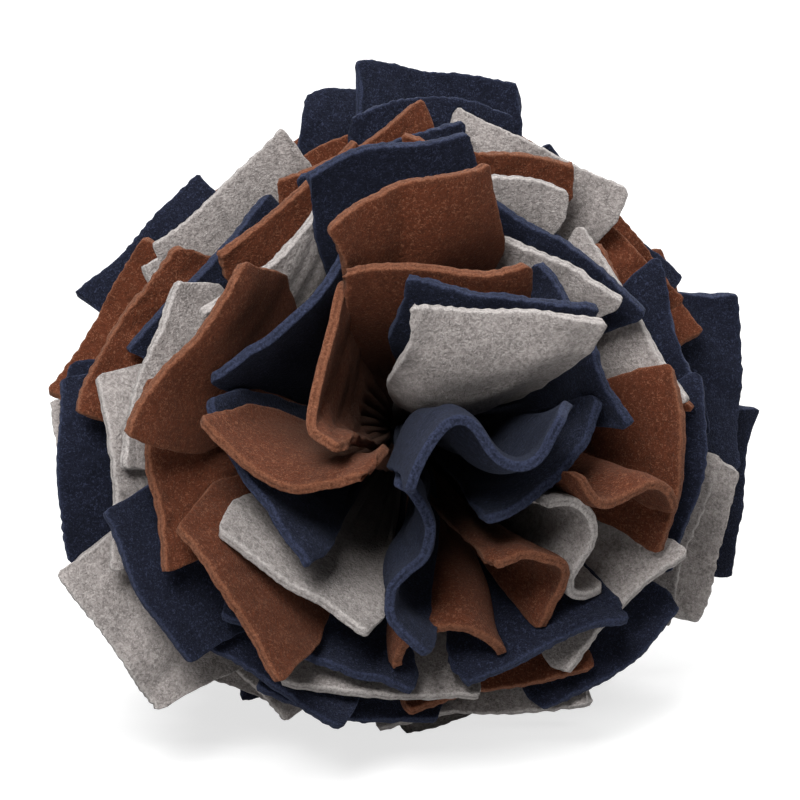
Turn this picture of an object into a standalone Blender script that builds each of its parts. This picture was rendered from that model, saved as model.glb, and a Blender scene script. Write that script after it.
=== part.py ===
"""Snuffle ball: a pompom of fleece strips, all passed through one narrow waist tie.

World frame: metres, +Z up, origin on the floor below the ball. The ball lies with its
front to -Y and a little up, so the strips' front ends fan out toward whoever looks at it.
"""
import math

import bpy
import numpy as np
from mathutils import Matrix, Vector

# Fleece strips
STRIP_LENGTH = 0.180
STRIP_WIDTH = 0.050
FLEECE_THICKNESS = 0.0025
# The pompom
BALL_RADIUS = 0.088
CENTRE_HEIGHT = 0.081
FRONT_TILT_DEG = 14.0
FRONT_TURN_DEG = 8.0
# The front ends fan out from this far right of the ball's middle and above it
FAN_RIGHT_SHARE = 0.05
FAN_UP_SHARE = -0.02
FLOOR_TRIM = 0.0005
# The tie round the gathered middle
WAIST_RADIUS = 0.0215
GATHERED_WIDTH_MOST = 0.0073
GATHERED_FILL_SHARE = 0.88
FOLDED_SHARE = 0.7
GATHERED_THICKNESS = 0.0011
GATHER_REACH = 0.072
GATHER_CURVE_SHARE = 1.8
TIE_WIDTH = 0.0036
TIE_THICKNESS = 0.0011
TIE_CLEARANCE = 0.0010
TIE_HEAD_LENGTH = 0.0066
TIE_HEAD_WIDTH = 0.0060
TIE_HEAD_HEIGHT = 0.0044
TIE_HEAD_ROUND = 0.0006
TIE_HEAD_AZIMUTH_DEG = 118.0
TIE_END_LENGTH = 0.0022
TIE_STEPS = 40
ROUND_SEGMENTS = 2
# Inside the ball the strips flatten toward a slit that is this long
SLIT_HALF_WAIST = 0.0028
SLIT_HALF_OUTSIDE = 0.0155
SLIT_CURVE_SHARE = 1.5
# Front and back halves of the outermost strips stand this far apart
PARTING = 0.0052
PARTING_REACH = 0.008
# Slow waves that run through the whole ball. Along each axis two of them add up, and each has
# its share of the height, how often it runs along x, y and z, and where it starts.
WAVE_HEIGHT = 0.0036
WAVE_LENGTH = 0.058
WAVE_SHARES = (
    ((1.0, (0.0, 0.9, 0.5), 0.4), (0.5, (0.0, -0.7, 1.3), 2.0)),
    ((1.0, (0.8, 0.0, -0.6), 1.9), (0.5, (1.2, 0.0, 0.5), 0.3)),
    ((1.0, (0.7, 0.7, 0.0), 3.1), (0.5, (-0.8, 1.1, 0.0), 1.1)),
)
# In a ring the strips lie over and under their neighbours, and each is flatter than its ring
LAP_DEG = 3.4
# In the waist no strip stands further out of its ring than this many laps
WAIST_LAP_MOST = 1.0
FLAT_SHARE = 0.65
SECTION_STEPS = 61
OVAL_STEPS = 241
SAG_DROP_SHARE = 0.10
SAG_SPREAD_SHARE = 0.10
# Waves and sag begin outside this distance, so that the gathered middle stays round
QUIET_RADIUS = 0.029
# The shortest and longest front ends, as shares of the ball's radius
REACH_LEAST_SHARE = 0.84
REACH_MOST_SHARE = 1.16
# In a ring with an odd number of strips one back lies over one neighbour and under the other
ODD_ROLL_DEG = 28.0
# How far the slots of a ring move from even places toward their strips' front ends
SLOT_DRIFT_SHARE = 0.3
# The upper half grows narrower by this share toward its top
TAPER_SHARE = 0.12
# A strip whose end is within this height of the floor, or would pass through it, ends there
REST_BAND = 0.0085
REST_STRETCH = 0.011
SETTLE_STEPS = 24
SHARP_DEG = 40.0
FLEECE_ROUGHNESS = 0.95
TIE_ROUGHNESS = 0.45

# Rows and columns of each strip's sheet, as shares of its half length and half width
ROW_SHARES = (-1.0, -0.66, -0.34, -0.12, 0.0, 0.12, 0.34, 0.66, 1.0)
COLUMN_SHARES = (-1.0, -0.34, 0.34, 1.0)
CURVED_COLUMN_SHARES = (-1.0, -0.66, -0.33, 0.0, 0.33, 0.66, 1.0)

COLOURS = {
    "navy": (0.018, 0.026, 0.062),
    "brown": (0.150, 0.047, 0.022),
    "grey": (0.330, 0.300, 0.285),
}
TIE_COLOUR = (0.012, 0.012, 0.013)

# The ball's own frame has right, up and front as x, y and z
BALL_TURN = (
    Matrix.Rotation(math.radians(90.0 - FRONT_TILT_DEG), 3, "X")
    @ Matrix.Rotation(math.radians(FRONT_TURN_DEG), 3, "Y")
)

# Rings of strips in the waist, inside out. A ring has its level, the angle between its strips
# and the ball's axis. A strip has its colour, where the middle of its front end shows from the
# front (right and up, in shares of the ball's radius), and what its end adds to the level.
RINGS = (
    (11.0, (
        ("navy", 0.14, -0.14, 0.1, 0.0, 0.0, 50.0),
        ("grey", 0.17, 0.25, 2.0, -7.0),
    )),
    (25.0, (
        ("navy", 0.17, 0.32, -0.80, -7.0),
        ("brown", -0.12, 0.39, 0.75),
        ("brown", -0.44, 0.02, -1.0),
        ("brown", -0.39, -0.27, 1.1, -12.0),
        ("navy", -0.09, -0.42, 0.95, 60.0, 0.0, 50.0),
        ("navy", 0.35, -0.14, -0.4, 14.0),
    )),
    (38.0, (
        ("navy", 0.47, 0.20, -0.8),
        ("grey", 0.34, 0.45, 1.5),
        ("brown", -0.12, 0.62, -1.0, -12.0),
        ("navy", -0.42, 0.36, 0.5, 0.0, 25.0),
        ("navy", -0.52, -0.20, -0.4, -15.0),
        ("grey", -0.38, -0.46, 1.0, -5.0),
        ("brown", 0.31, -0.40, -0.2, 72.0, 70.0),
        ("grey", 0.43, -0.36, 0.5, 80.0, 0.0, 52.0),
        ("brown", 0.57, -0.235, -0.15, 73.0, 0.0, -40.0),
    )),
    (52.0, (
        ("grey", 0.54, 0.25, 1.0, 0.0, -15.0),
        ("navy", 0.44, 0.48, -1.0),
        ("grey", 0.21, 0.70, 1.0),
        ("navy", -0.10, 0.76, -0.5),
        ("grey", -0.45, 0.52, 1.0, 0.0, 20.0),
        ("brown", -0.75, 0.25, -1.0),
        ("brown", -0.75, -0.14, 0.8, -5.0),
        ("brown", -0.57, -0.50, -1.0),
        ("navy", -0.27, -0.66, 1.0),
        ("brown", 0.08, -0.60, -2.0, 0.0, 100.0),
        ("navy", 0.38, -0.66, 1.0),
        ("brown", 0.74, -0.08, 0.5, -13.0),
    )),
    (66.0, (
        ("brown", 0.72, 0.30, -0.7),
        ("navy", 0.52, 0.58, 1.0),
        ("brown", 0.23, 0.76, -1.0),
        ("navy", -0.10, 0.80, 1.0),
        ("brown", -0.42, 0.66, -1.0),
        ("navy", -0.66, 0.46, 1.0),
        ("grey", -0.80, 0.17, -1.0),
        ("grey", -0.88, -0.12, 1.0),
        ("navy", -0.76, -0.46, -1.0),
        ("navy", -0.44, -0.74, 1.0),
        ("grey", -0.10, -0.78, -1.0),
        ("brown", 0.25, -0.80, 1.0),
        ("grey", 0.62, -0.55, -0.8),
        ("navy", 0.80, -0.14, 1.0),
    )),
    (80.2, (
        ("navy", 0.88, 0.22, -1.0),
        ("brown", 0.76, 0.64, 1.0),
        ("grey", 0.47, 0.87, -0.93),
        ("navy", 0.10, 0.92, 1.0),
        ("brown", -0.24, 0.92, -1.0),
        ("grey", -0.66, 0.76, 1.0),
        ("brown", -0.88, 0.30, -1.0),
        ("navy", -0.98, -0.14, 1.0),
        ("grey", -0.92, -0.54, -1.0),
        ("grey", -0.58, -0.80, 1.0),
        ("navy", -0.16, -0.88, -1.0),
        ("grey", 0.24, -0.92, 1.0),
        ("navy", 0.62, -0.74, -1.0),
        ("grey", 0.92, -0.40, 1.0),
    )),
)


def clear_scene():
    for leftover in list(bpy.data.objects):
        bpy.data.objects.remove(leftover, do_unlink=True)


def make_collection(name):
    collection = bpy.data.collections.new(name)
    bpy.context.scene.collection.children.link(collection)
    return collection


def make_material(name, colour, roughness):
    material = bpy.data.materials.new(name)
    material.use_nodes = True
    shader = material.node_tree.nodes["Principled BSDF"]
    shader.inputs["Base Color"].default_value = (*colour, 1.0)
    shader.inputs["Roughness"].default_value = roughness
    shader.inputs["Metallic"].default_value = 0.0
    return material


def smooth(share):
    """0 to 1 with level ends."""
    share = min(max(share, 0.0), 1.0)
    return share * share * (3.0 - 2.0 * share)


def past_quiet(length):
    """0 inside the quiet middle, 1 at the ball's outside."""
    return smooth((length - QUIET_RADIUS) / (BALL_RADIUS - QUIET_RADIUS))


def slit_half(depth):
    """Half length of the slit that the strips flatten toward, at a distance from the waist."""
    far = min(abs(depth) / BALL_RADIUS, 1.0) ** SLIT_CURVE_SHARE
    return SLIT_HALF_WAIST + (SLIT_HALF_OUTSIDE - SLIT_HALF_WAIST) * far


def flatten(place, depth):
    """Round rings become ovals that close on a level slit, seen along the ball's axis."""
    return place + slit_half(depth) ** 2 / place


def unflatten(seen, depth):
    root = np.sqrt(complex(seen * seen - 4.0 * slit_half(depth) ** 2))
    best = (seen + root) / 2.0
    other = (seen - root) / 2.0
    return best if abs(best) >= abs(other) else other


def waist_distance(level):
    """Where a level passes the waist: levels share the waist as they share the ball."""
    return WAIST_RADIUS * math.sqrt(1.0 - math.cos(level))


def turn_between(start, end):
    """The short way round from one azimuth to another."""
    return (end - start + math.pi) % (2.0 * math.pi) - math.pi


class Half:
    """One half of a strip, from its slot in the waist to its end."""

    def __init__(self, waist, gathered, ring_level, lap, azimuth, reach, roll=0.0, bend=0.0, swerve=0.0):
        self.waist = waist
        self.gathered = gathered
        self.level = math.radians(ring_level + LAP_DEG * lap)
        self.azimuth = azimuth
        self.slot = azimuth
        self.reach = reach
        self.roll, self.bend, self.swerve = (math.radians(angle) for angle in (roll, bend, swerve))

    def reach_of(self, level, along):
        """Distance from the ball's axis, and depth from the waist, at a length along a level."""
        distance = math.hypot(self.waist, along * math.sin(level))
        parted = PARTING * math.tanh(along / PARTING_REACH) * (level / (math.pi / 2.0)) ** 2
        return distance, along * math.cos(level) + parted

    def section(self, columns, half_width, distance, depth):
        """Points across the strip: how far each lies along its level, and how far out of it."""
        steps = np.linspace(-1.0, 1.0, SECTION_STEPS)
        heading = self.roll + self.bend * steps + self.swerve * np.cos(math.pi * steps)
        heading = (heading[1:] + heading[:-1]) / 2.0
        along = np.concatenate(([0.0], np.cumsum(np.cos(heading)))) * (steps[1] - steps[0])
        outward = np.concatenate(([0.0], np.cumsum(np.sin(heading)))) * (steps[1] - steps[0])
        along = (along - along.mean()) * half_width
        outward = (outward - outward.mean()) * half_width
        roundness = (1.0 - (slit_half(depth) / distance) ** 2) ** 2
        hollow = FLAT_SHARE * roundness * along ** 2 / (2.0 * max(distance, half_width))
        outward += hollow - hollow.mean()
        return np.interp(columns, steps, along), np.interp(columns, steps, outward)

    def row(self, share, columns):
        """Points across the strip at a share of this half's length."""
        along = share * self.reach
        spread = smooth(along / GATHER_REACH)
        azimuth = self.slot + spread * turn_between(self.slot, self.azimuth)
        distance, depth = self.reach_of(self.level, along)
        opened = min(along / GATHER_REACH, 1.0) ** GATHER_CURVE_SHARE
        half_width = (self.gathered + (STRIP_WIDTH - self.gathered) * opened) / 2.0
        angles = azimuth + np.linspace(-math.pi, math.pi, OVAL_STEPS)
        oval = flatten(distance * np.exp(1j * angles), depth)
        walked = np.concatenate(([0.0], np.cumsum(np.abs(np.diff(oval)))))
        walked -= np.interp(azimuth, angles, walked)
        sideways, outward = self.section(columns, half_width, distance, depth)
        points = []
        for side_step, out_step in zip(sideways, outward):
            rolled = self.level + spread * out_step / max(along, WAIST_RADIUS)
            distance, depth = self.reach_of(rolled, along)
            spot = flatten(distance * np.exp(1j * np.interp(side_step, walked, angles)), depth)
            points.append(np.array((spot.real, spot.imag, depth)))
        return points


class Strip:
    """One strip: a front half that shows as the ring's table says, and a plain back half."""

    def __init__(self, ring_level, in_ring, colour, right, up, lap, roll=0.0, bend=0.0, swerve=0.0):
        self.colour = colour
        self.ring_level = ring_level
        self.columns = CURVED_COLUMN_SHARES if bend or swerve else COLUMN_SHARES
        level = math.radians(ring_level + LAP_DEG * lap)
        seen = BALL_RADIUS * complex(right - FAN_RIGHT_SHARE, up - FAN_UP_SHARE)
        place = unflatten(seen, BALL_RADIUS * math.cos(level))
        reach = abs(place) / math.sin(level)
        reach = min(max(reach, REACH_LEAST_SHARE * BALL_RADIUS), REACH_MOST_SHARE * BALL_RADIUS)
        self.waist = waist_distance(math.radians(ring_level + LAP_DEG * min(lap, WAIST_LAP_MOST)))
        slot_width = 2.0 * math.pi * waist_distance(math.radians(ring_level)) / in_ring
        self.gathered = min(GATHERED_FILL_SHARE * slot_width, GATHERED_WIDTH_MOST)
        if self.columns is CURVED_COLUMN_SHARES:
            self.gathered *= FOLDED_SHARE
        self.front = Half(
            self.waist, self.gathered, ring_level, lap, np.angle(place), reach, roll, bend, swerve
        )
        self.back = None

    def seat(self, slot_azimuth, back_lap, back_roll):
        """Take a slot in the waist. The back half leaves it straight."""
        self.front.slot = slot_azimuth
        reach = STRIP_LENGTH - self.front.reach
        self.back = Half(
            self.waist, self.gathered, self.ring_level, back_lap, slot_azimuth, reach, back_roll
        )
        for half, side in ((self.front, 1.0), (self.back, -1.0)):
            longest = half.reach + REST_STRETCH
            for _ in range(SETTLE_STEPS):
                over = -FLOOR_TRIM - self.lowest(side)
                if over < -REST_BAND:
                    break
                half.reach = min(half.reach - over, longest)

    def row(self, share):
        """Points across the strip at a share of its half length, in the world."""
        half, side = (self.front, 1.0) if share >= 0.0 else (self.back, -1.0)
        mirror = np.array((1.0, 1.0, side))
        return [stand(wave(point * mirror)) for point in half.row(abs(share), self.columns)]

    def lowest(self, side):
        """Height of the lowest point of the front or back half, with its thickness."""
        places = np.array([self.row(share) for share in ROW_SHARES if share * side > 0.0])
        normals = np.cross(np.gradient(places, axis=0), np.gradient(places, axis=1))
        upright = np.abs(normals[..., 2]) / np.linalg.norm(normals, axis=2)
        return (places[..., 2] - upright * FLEECE_THICKNESS / 2.0).min()


def wave(point):
    """Slow waves that all strips share, so that they bend and never cross."""
    turned = point * (2.0 * math.pi / WAVE_LENGTH)
    push = np.array([
        sum(share * math.sin(np.dot(run, turned) + start) for share, run, start in pair)
        for pair in WAVE_SHARES
    ])
    return point + WAVE_HEIGHT * past_quiet(np.linalg.norm(point)) * push


def stand(point):
    """From the ball's own frame to the world, sagging toward the floor."""
    x, y, z = BALL_TURN @ Vector(point)
    low = past_quiet(-z)
    widen = 1.0 + SAG_SPREAD_SHARE * low - TAPER_SHARE * past_quiet(z)
    z += SAG_DROP_SHARE * BALL_RADIUS * low ** 2
    return np.array((x * widen, y * widen, z + CENTRE_HEIGHT))


def thickness_share(share):
    opened = min(abs(share) * BALL_RADIUS / GATHER_REACH, 1.0) ** GATHER_CURVE_SHARE
    waist = GATHERED_THICKNESS / FLEECE_THICKNESS
    return waist + (1.0 - waist) * opened


def make_strip(name, strip, collection, material):
    rows = [strip.row(share) for share in ROW_SHARES]
    columns = len(strip.columns)
    points = [tuple(point) for row in rows for point in row]
    faces = [
        (r * columns + c, r * columns + c + 1, (r + 1) * columns + c + 1, (r + 1) * columns + c)
        for r in range(len(rows) - 1)
        for c in range(columns - 1)
    ]
    mesh = bpy.data.meshes.new(name)
    mesh.from_pydata(points, [], faces)
    mesh.materials.append(material)
    sheet = bpy.data.objects.new(name, mesh)
    collection.objects.link(sheet)
    group = sheet.vertex_groups.new(name="thickness")
    for r, share in enumerate(ROW_SHARES):
        group.add(list(range(r * columns, (r + 1) * columns)), thickness_share(share), "REPLACE")
    solid = sheet.modifiers.new("thickness", "SOLIDIFY")
    solid.thickness = FLEECE_THICKNESS
    solid.offset = 0.0
    solid.vertex_group = group.name
    mesh.shade_smooth()
    mesh.set_sharp_from_angle(angle=math.radians(SHARP_DEG))
    return sheet


def make_strips(collection, materials):
    counts = dict.fromkeys(COLOURS, 0)
    strips = []
    for ring_level, members in RINGS:
        ring = [Strip(ring_level, len(members), *member) for member in members]
        step = 2.0 * math.pi / len(ring)
        start = ring[0].front.azimuth
        drift = [turn_between(start + step * n, strip.front.azimuth) for n, strip in enumerate(ring)]
        start += sum(drift) / len(ring)
        first_lap = math.copysign(1.0, members[0][3])
        laps = [(first_lap * (-1.0) ** slot, 0.0) for slot in range(len(ring))]
        if len(ring) % 2 == 1:
            laps[-1] = (0.0, -first_lap * ODD_ROLL_DEG)
        for slot, strip in enumerate(ring):
            even = start + step * slot
            strip.seat(even + SLOT_DRIFT_SHARE * turn_between(even, strip.front.azimuth), *laps[slot])
            counts[strip.colour] += 1
            name = f"{strip.colour}_strip_{counts[strip.colour]:02d}"
            strips.append(make_strip(name, strip, collection, materials[strip.colour]))
    return strips


def make_box(name, collection, size, place):
    """A box in the ball's own frame, its sides along the frame's axes."""
    bpy.ops.mesh.primitive_cube_add(size=1.0)
    box = bpy.context.active_object
    box.name = name
    for holder in list(box.users_collection):
        holder.objects.unlink(box)
    collection.objects.link(box)
    box.data.transform(Matrix.Translation(place) @ Matrix.Diagonal((*size, 1.0)))
    return box


def make_tie(ball, cutters, material):
    """The tie's band with its head and the trimmed end that stands out of the head."""
    inner = WAIST_RADIUS + TIE_CLEARANCE
    outer = inner + TIE_THICKNESS
    half = TIE_WIDTH / 2.0
    mesh = bpy.data.meshes.new("waist_tie")
    corners = [(inner, 0.0, -half), (outer, 0.0, -half), (outer, 0.0, half), (inner, 0.0, half)]
    mesh.from_pydata(corners, [(0, 1), (1, 2), (2, 3), (3, 0)], [])
    mesh.materials.append(material)
    tie = bpy.data.objects.new("waist_tie", mesh)
    ball.objects.link(tie)
    turned = tie.modifiers.new("band", "SCREW")
    turned.steps = TIE_STEPS
    turned.render_steps = TIE_STEPS
    turned.use_merge_vertices = True
    turned.merge_threshold = TIE_THICKNESS / TIE_STEPS
    turned.use_normal_calculate = True

    head_middle = inner + TIE_HEAD_HEIGHT / 2.0
    head = make_box(
        "tie_head", cutters, (TIE_HEAD_HEIGHT, TIE_HEAD_LENGTH, TIE_HEAD_WIDTH), (head_middle, 0.0, 0.0)
    )
    rounded = head.modifiers.new("rounded", "BEVEL")
    rounded.width = TIE_HEAD_ROUND
    rounded.segments = ROUND_SEGMENTS
    end_reach = TIE_HEAD_LENGTH / 2.0 + TIE_END_LENGTH
    end = make_box(
        "tie_end", cutters, (TIE_THICKNESS, end_reach, TIE_WIDTH), (head_middle, end_reach / 2.0, 0.0)
    )
    for name, piece in (("head", head), ("end", end)):
        joined = tie.modifiers.new(name, "BOOLEAN")
        joined.operation = "UNION"
        joined.solver = "EXACT"
        joined.object = piece
    mesh.shade_smooth()
    turn = BALL_TURN.to_4x4() @ Matrix.Rotation(math.radians(TIE_HEAD_AZIMUTH_DEG), 4, "Z")
    for piece in (tie, head, end):
        piece.matrix_world = Matrix.Translation((0.0, 0.0, CENTRE_HEIGHT)) @ turn
    hide_helper(head)
    hide_helper(end)
    return tie


def hide_helper(helper):
    helper.hide_render = True
    helper.display_type = "WIRE"


def world_bounds(piece):
    """The least and greatest corner of a finished piece."""
    finished = piece.evaluated_get(bpy.context.evaluated_depsgraph_get())
    corners = np.array([piece.matrix_world @ Vector(corner) for corner in finished.bound_box])
    return corners.min(axis=0), corners.max(axis=0)


def cut_feet(strips, cutters):
    """Strips that touch the floor get flat feet there."""
    floor_size = 4.0 * BALL_RADIUS
    floor = make_box("floor_cutter", cutters, (floor_size,) * 3, (0.0, 0.0, -floor_size / 2.0))
    hide_helper(floor)
    for strip in strips:
        if world_bounds(strip)[0][2] < 0.0:
            cut = strip.modifiers.new("foot", "BOOLEAN")
            cut.operation = "DIFFERENCE"
            cut.solver = "EXACT"
            cut.object = floor


def centre_over_origin(pieces, cutters):
    bounds = [world_bounds(piece) for piece in pieces]
    low = np.min([least for least, _ in bounds], axis=0)
    high = np.max([greatest for _, greatest in bounds], axis=0)
    shift = Vector((-(low[0] + high[0]) / 2.0, -(low[1] + high[1]) / 2.0, 0.0))
    for piece in pieces + list(cutters.objects):
        piece.location += shift


def main():
    clear_scene()
    ball = make_collection("snuffle_ball")
    cutters = make_collection("cutters")
    materials = {
        name: make_material(f"{name}_fleece", colour, FLEECE_ROUGHNESS)
        for name, colour in COLOURS.items()
    }
    strips = make_strips(ball, materials)
    cut_feet(strips, cutters)
    tie = make_tie(ball, cutters, make_material("black_nylon", TIE_COLOUR, TIE_ROUGHNESS))
    centre_over_origin([*strips, tie], cutters)


main()
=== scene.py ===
"""A snuffle ball: fleece strips in navy, rust brown and grey, gathered at the middle by a tie."""

import math

import bpy
import numpy as np
from mathutils import Matrix, Vector


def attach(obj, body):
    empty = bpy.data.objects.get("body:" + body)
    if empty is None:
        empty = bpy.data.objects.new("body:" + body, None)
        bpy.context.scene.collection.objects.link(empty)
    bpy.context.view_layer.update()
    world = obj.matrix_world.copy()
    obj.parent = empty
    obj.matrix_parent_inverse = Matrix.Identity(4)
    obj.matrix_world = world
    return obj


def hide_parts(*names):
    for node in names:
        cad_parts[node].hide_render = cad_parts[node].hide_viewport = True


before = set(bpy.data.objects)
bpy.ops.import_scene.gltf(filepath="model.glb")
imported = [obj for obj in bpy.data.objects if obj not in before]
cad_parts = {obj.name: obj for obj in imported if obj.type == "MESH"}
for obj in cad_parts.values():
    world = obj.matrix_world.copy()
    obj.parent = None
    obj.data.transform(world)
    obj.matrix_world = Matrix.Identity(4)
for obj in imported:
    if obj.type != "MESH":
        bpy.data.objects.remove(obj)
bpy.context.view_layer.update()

# The ball is 57 strips of double-faced fleece, 50 mm wide and cut by hand. They lie in rings round
# the ball's axis and pass through one tie at their middles, where they are gathered and pressed
# together. From there their ends open and fan out. Each strip is a closed sheet of its own.
STRIP_LENGTH = 0.180
STRIP_WIDTH = 0.050
FLEECE_THICKNESS = 0.0026
BALL_RADIUS = 0.088
# Where the solids' ball stands, once it is centred over the origin
BALL_PLACE = np.array((-0.0011787, 0.0021538, 0.081))
# The ball's own frame has right, up and front as x, y and z. Its front, along the ball's axis,
# looks up a little and to the side.
FRONT_TILT_DEG = 14.0
FRONT_TURN_DEG = 8.0
BALL_TURN = np.array(
    Matrix.Rotation(math.radians(90.0 - FRONT_TILT_DEG), 3, "X")
    @ Matrix.Rotation(math.radians(FRONT_TURN_DEG), 3, "Y")
)
# Where the fan of ends has its middle, right and up in shares of the ball's radius
FAN_MIDDLE = complex(0.05, -0.02)

# The waist is where all strips pass through the tie, pressed together and gathered
WAIST_RADIUS = 0.0215
WAIST_LAP_MOST = 1.0
GATHERED_THICKNESS = 0.0018
GATHERED_FILL_SHARE = 1.12
GATHERED_WIDTH_MOST = 0.0115
GATHERED_FOLDED_SHARE = 0.9
# So far from the waist a strip is open, and its width and thickness grow by these powers
GATHER_REACH = 0.072
OPENING_POWER = 1.35
THICKENING_POWER = 1.8
# The rings close on a level slit, short in the waist and longer toward the outside
SLIT_HALF_IN_WAIST = 0.0028
SLIT_HALF_GROWTH = 0.0127
SLIT_POWER = 1.5
# Outside the tie the halves of the outermost strips each stand this far from the waist
PARTING = 0.0052
PARTING_REACH = 0.008

# In a ring the strips lie over and under their neighbours. Each curves less than its ring does,
# and its end is cut nearly straight.
LAP_DEG = 3.4
FLATTER_SHARE = 0.88
STRAIGHT_SHARE = 0.9
SECTION_STEPS = 241
OVAL_STEPS = 721
REACH_LEAST_SHARE = 0.84
REACH_MOST_SHARE = 1.16
# A slot in the waist follows its strip's front end by this share
SLOT_DRIFT_SHARE = 0.3
# The last back end of a ring with an odd count can't be over or under, and is rolled instead
ODD_ROLL_DEG = 28.0
# Outside the inner rings a front end with no roll in the table gets a small one
INNER_RINGS_DEG = 30.0
SMALL_ROLL_DEG = 6.0
SMALL_ROLL_STEP = 2.4

# Slow waves through the whole ball. Along each axis two add up, and each has its share of the
# height, how often it runs along x, y and z, and where it starts.
WAVE_HEIGHT = 0.0017
WAVE_LENGTH = 0.058
WAVE_SHARES = (
    ((1.0, (0.0, 0.9, 0.5), 0.4), (0.5, (0.0, -0.7, 1.3), 2.0)),
    ((1.0, (0.8, 0.0, -0.6), 1.9), (0.5, (1.2, 0.0, 0.5), 0.3)),
    ((1.0, (0.7, 0.7, 0.0), 3.1), (0.5, (-0.8, 1.1, 0.0), 1.1)),
)
# The ball sags and spreads below and grows narrower above. Waves, sag and taper leave the
# gathered middle as it is and begin outside this radius.
QUIET_RADIUS = 0.029
SAG_SHARE = 0.10
TAPER_SHARE = 0.12
# The ball's upper left is tucked in by this share, in full from this far out
TUCK_SHARE = 0.085
TUCK_REACH = 0.055

# An end that nearly reaches the floor, or would pass through it, is made to end there, as
# checked at a few points of each half
REST_BAND = 0.0085
REST_STRETCH = 0.011
FLOOR_TRIM = 0.0005
SETTLE_STEPS = 24
PROBE_SHARES = np.array((0.12, 0.34, 0.66, 1.0))
PROBE_COLUMNS = 4
PROBE_HALF_THICKNESS = 0.00125

# Rings of strips, inside out. A ring has its level, the angle between its strips and the ball's
# axis. A strip has its colour, where the middle of its front end shows (right and up, in shares
# of the ball's radius), how many laps its end stands out of its ring, then roll, bend and swerve.
RINGS = (
    (11.0, (
        ("navy", 0.14, -0.14, 0.1, 0.0, 0.0, 50.0),
        ("grey", 0.17, 0.25, 2.0, -7.0),
    )),
    (25.0, (
        ("navy", 0.17, 0.32, -0.80, -7.0),
        ("brown", -0.12, 0.39, 0.75),
        ("brown", -0.44, 0.02, -1.0),
        ("brown", -0.39, -0.27, 1.1, -12.0),
        ("navy", -0.09, -0.42, 0.95, 60.0, 0.0, 50.0),
        ("navy", 0.35, -0.14, -0.4, 14.0),
    )),
    (38.0, (
        ("navy", 0.47, 0.20, -0.8),
        ("grey", 0.34, 0.45, 1.5),
        ("brown", -0.12, 0.62, -1.0, -12.0),
        ("navy", -0.42, 0.36, 0.5, 0.0, 25.0),
        ("navy", -0.52, -0.20, -0.4, -15.0),
        ("grey", -0.38, -0.46, 1.0, -5.0),
        ("brown", 0.31, -0.40, -0.2, 72.0, 70.0),
        ("grey", 0.43, -0.36, 0.5, 80.0, 0.0, 52.0),
        ("brown", 0.57, -0.235, -0.15, 73.0, 0.0, -40.0),
    )),
    (52.0, (
        ("grey", 0.54, 0.25, 1.0, 0.0, -15.0),
        ("navy", 0.44, 0.48, -1.0),
        ("grey", 0.21, 0.70, 1.0),
        ("navy", -0.10, 0.76, -0.5),
        ("grey", -0.45, 0.52, 1.0, 0.0, 20.0),
        ("brown", -0.75, 0.25, -1.0),
        ("brown", -0.75, -0.14, 0.8, -5.0),
        ("brown", -0.57, -0.50, -1.0),
        ("navy", -0.27, -0.66, 1.0),
        ("brown", 0.08, -0.60, -2.0, 0.0, 100.0),
        ("navy", 0.38, -0.66, 1.0),
        ("brown", 0.74, -0.08, 0.5, -13.0),
    )),
    (66.0, (
        ("brown", 0.72, 0.30, -0.7),
        ("navy", 0.52, 0.58, 1.0),
        ("brown", 0.23, 0.76, -1.0),
        ("navy", -0.10, 0.80, 1.0),
        ("brown", -0.42, 0.66, -1.0),
        ("navy", -0.66, 0.46, 1.0),
        ("grey", -0.80, 0.17, -1.0),
        ("grey", -0.88, -0.12, 1.0),
        ("navy", -0.76, -0.46, -1.0),
        ("navy", -0.44, -0.74, 1.0),
        ("grey", -0.10, -0.78, -1.0),
        ("brown", 0.25, -0.80, 1.0),
        ("grey", 0.62, -0.55, -0.8),
        ("navy", 0.80, -0.14, 1.0),
    )),
    (80.2, (
        ("navy", 0.88, 0.22, -1.0),
        ("brown", 0.76, 0.64, 1.0),
        ("grey", 0.47, 0.87, -0.93),
        ("navy", 0.10, 0.92, 1.0),
        ("brown", -0.24, 0.92, -1.0),
        ("grey", -0.66, 0.76, 1.0),
        ("brown", -0.88, 0.30, -1.0),
        ("navy", -0.98, -0.14, 1.0),
        ("grey", -0.92, -0.54, -1.0),
        ("grey", -0.58, -0.80, 1.0),
        ("navy", -0.16, -0.88, -1.0),
        ("grey", 0.24, -0.92, 1.0),
        ("navy", 0.62, -0.74, -1.0),
        ("grey", 0.92, -0.40, 1.0),
    )),
)

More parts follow.
